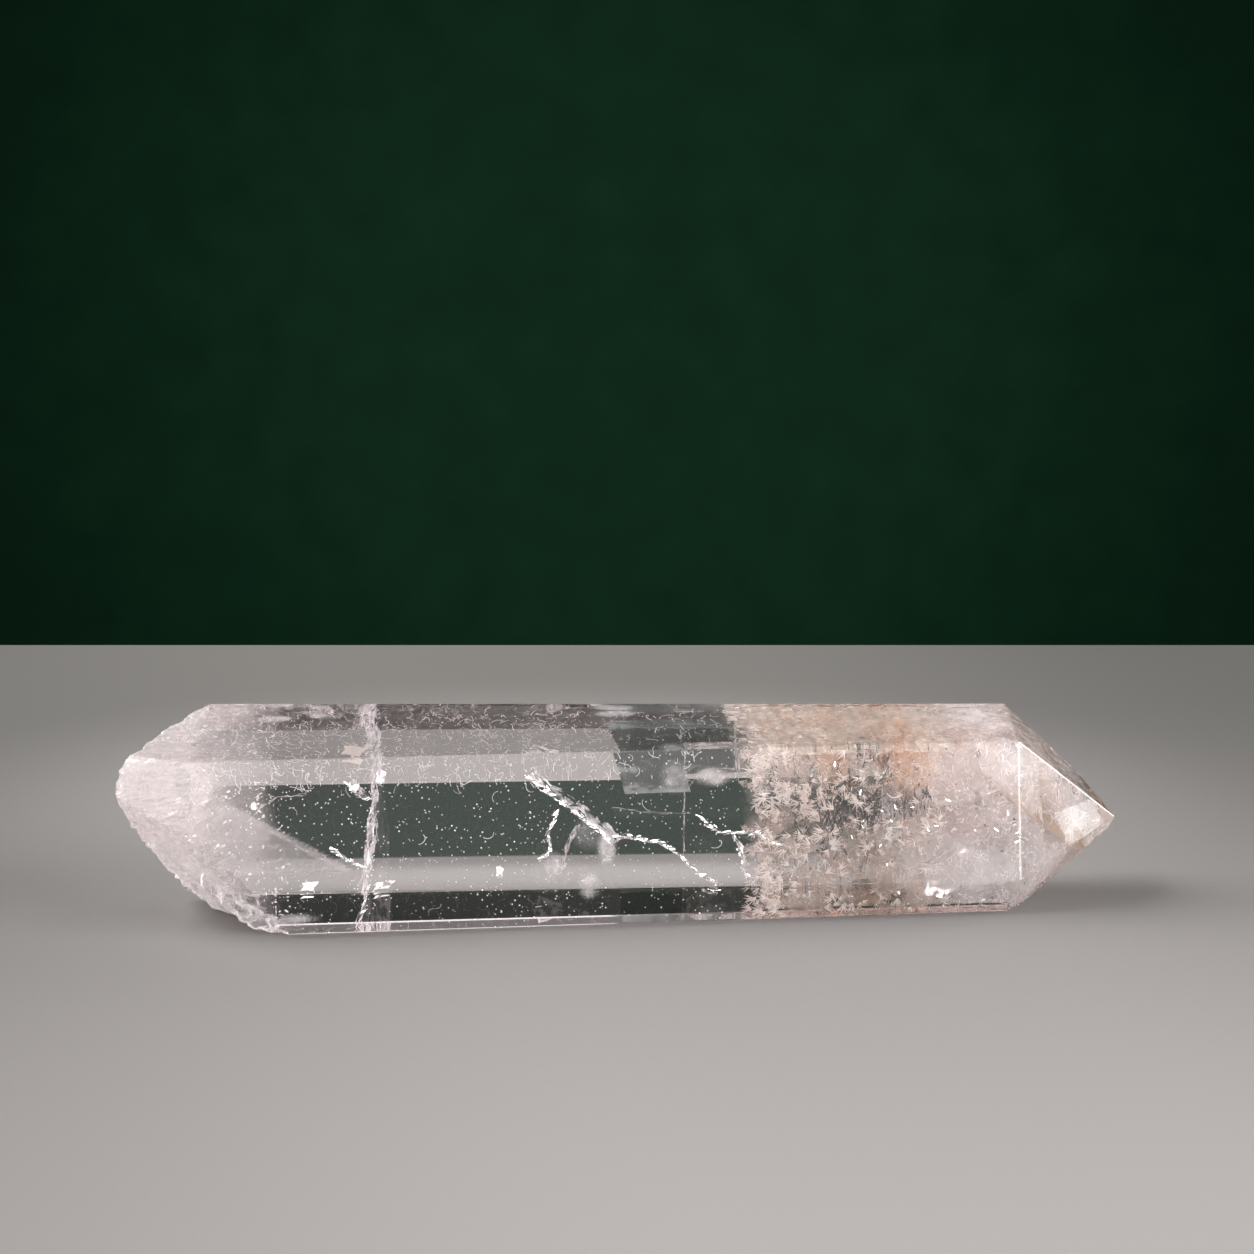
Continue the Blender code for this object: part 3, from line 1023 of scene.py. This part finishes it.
def glints_along(draw, paths, each):
    """Matrices for small flakes beside the cracks, each per millimetre, turned more or less to the key box."""
    spots = []
    for path, sweep in paths:
        corners = [Vector(point) for point in path]
        for a, b in zip(corners, corners[1:]):
            for _ in range(round(each * (b - a).length)):
                spot = a.lerp(b, draw.uniform()) + Vector(draw.normal(0.0, 0.13, 3))
                facing = (TO_KEY + Vector(draw.normal(0.0, 0.12, 3))).normalized()
                across = facing.cross(b - a + Vector(draw.normal(0.0, 0.35, 3))).normalized()
                turned = Matrix((across.cross(facing), across, facing)).transposed().to_4x4()
                long, thin = draw.uniform(0.15, 0.55) * MM, draw.uniform(0.03, 0.08) * MM
                if inner_depth(spot * MM) > 0.6 * MM:
                    spots.append(Matrix.Translation(spot * MM) @ turned @ Matrix.Diagonal((long, thin, 1.0, 1.0)))
    return spots


scattered(
    "crack_glints",
    new_shape("circle", vertices=5, radius=1.0, fill_type="NGON"),
    glints_along(draw, cracks.values(), 9.0) + glints_along(draw, [(across_path, None)], 3.0),
    bare_mirror,
)


def to_fill(draw):
    """Turned more or less to the right box, and any way round."""
    facing = TO_FILL + Vector(draw.normal(0.0, 0.1, 3))
    return facing.to_track_quat("Z", "X").to_matrix().to_4x4() @ Matrix.Rotation(draw.uniform(0.0, 6.3), 4, "Z")


scattered(
    "tip_glints",
    new_shape("circle", vertices=5, radius=1.0, fill_type="NGON"),
    spots_inside(
        draw, 110, (22, -12, 0.5), (52, -3, 20), 0.4, (0.1, 0.42), (1.0, 0.16, 1.0), near_surface, to_fill
    ),
    bare_mirror,
)
patches = {
    "bright_glints": (
        ragged_mirror,
        0.45,
        (
            ((-27.5, -4.0, 15.3), 1.2, 2.4, TO_KEY),
            ((-35.7, -7.8, 4.3), 2.0, 1.4, TO_KEY),
            ((-27.6, -7.9, 4.1), 2.3, 1.2, TO_KEY),
            ((-15.0, -7.7, 5.1), 0.8, 1.6, TO_KEY),
            ((-41.3, -6.0, 13.0), 0.6, 1.5, TO_KEY),
            ((-30.4, -4.6, 14.3), 1.1, 0.9, TO_KEY),
            ((33.0, -10.4, 2.4), 3.4, 1.5, (0.178, -0.979, 0.098)),
            ((36.0, -9.6, 6.0), 1.0, 0.9, TO_FILL),
        ),
    ),
    "peach_leaf": (
        crack_finish("peach_stain", "#fff4ec", 0.95, 8.0, 1.0 * MM, 0.2, 0.35),
        0.4,
        (((-30.3, -2.7, 17.2), 2.6, 3.8, UPWARD),),
    ),
    "dark_slivers": (
        crack_finish("dark_earth", "#5f5345", 0.7, 11.0, 0.8 * MM, 0.25, 0.4),
        0.3,
        (
            ((38.2, -7.9, 11.2), 0.7, 3.0, FORWARD),
            ((38.7, -6.0, 16.2), 0.5, 1.2, FORWARD),
            ((39.5, -10.0, 6.2), 0.6, 0.7, FORWARD),
            ((26.0, -9.6, 3.0), 5.0, 0.7, DOWN_FRONT),
            ((-49.1, -6.2, 15.6), 0.5, 0.6, FORWARD),
        ),
    ),
}
CLEAR_WHITE = linear("#fffcfc")
hazes = (
    ((50.0, -4.1, 8.4), 6.0, 4.6, TIPWARD, 0.7),
    ((46.8, -5.4, 5.6), 3.4, 4.4, TIPWARD, 0.8),
    ((40.2, 2.0, 17.6), 10.0, 12.0, UPWARD, 0.95),
    ((-37.8, 9.8, 17.6), 5.4, 3.4, UPWARD, 0.7),
    ((-33.0, 10.6, 17.6), 3.4, 2.6, UPWARD, 0.6),
    ((0.4, 8.4, 17.5), 6.4, 3.6, UPWARD, 0.6),
    ((8.5, 9.2, 17.5), 7.4, 3.2, UPWARD, 0.5),
    ((-3.0, -5.0, 6.6), 2.6, 5.6, FORWARD, 0.8),
    ((5.0, -2.4, 13.7), 4.0, 4.8, FORWARD, 0.4),
    ((9.2, -3.2, 13.8), 5.0, 2.6, FORWARD, 0.7),
    ((-5.0, -4.2, 8.0), 4.0, 4.6, FORWARD, 0.25),
    ((-38.5, -10.8, 1.7), 9.0, 1.6, DOWN_FRONT, 0.7),
    ((41.5, -8.2, 12.5), 13.0, 12.0, FORWARD, 0.6),
    ((35.0, -10.6, 3.8), 16.0, 5.0, DOWN_FRONT, 0.6),
    ((-9.0, -6.0, 5.0), 3.0, 3.6, FORWARD, 0.5),
    ((-5.3, -9.0, 3.9), 2.8, 2.8, DOWN_FRONT, 0.7),
    ((28.0, -9.0, 10.0), 3.0, 9.0, FORWARD, 0.5),
)
films = []
for seed, (spot, wide, high, facing, most) in enumerate(hazes):
    film_piece = add_film(Vector(spot) * MM, facing, wide * MM, high * MM, 0.3 * MM)
    keep_inside(film_piece, 0.12 * MM)
    middle, across = Vector(spot), facing.cross(Vector((1.0, 0.0, 0.0))).normalized()


    def haze_look(point):
        """Thick in the middle, nothing at the rim."""
        off = point - middle
        from_middle = math.hypot(off.dot(across.cross(facing)) * 2 / wide, off.dot(across) * 2 / high)
        return most * fade(from_middle, 1.0, 0.3) * (0.4 + 1.2 * lumps(point, 1.3, 40.0 + seed)), CLEAR_WHITE


    give_look(film_piece, haze_look)
    films.append(film_piece)
soft_hazes = join(films, "soft_hazes")
soft_hazes.data.materials.append(film)
keep_in_stone(soft_hazes)

for name, (finish, jag, places) in patches.items():
    piece = join([add_patch(*place, 3.0 * seed, jag=jag) for seed, place in enumerate(places)], name)
    keep_inside(piece, 0.12 * MM)
    piece.data.materials.append(finish)
    keep_in_stone(piece)
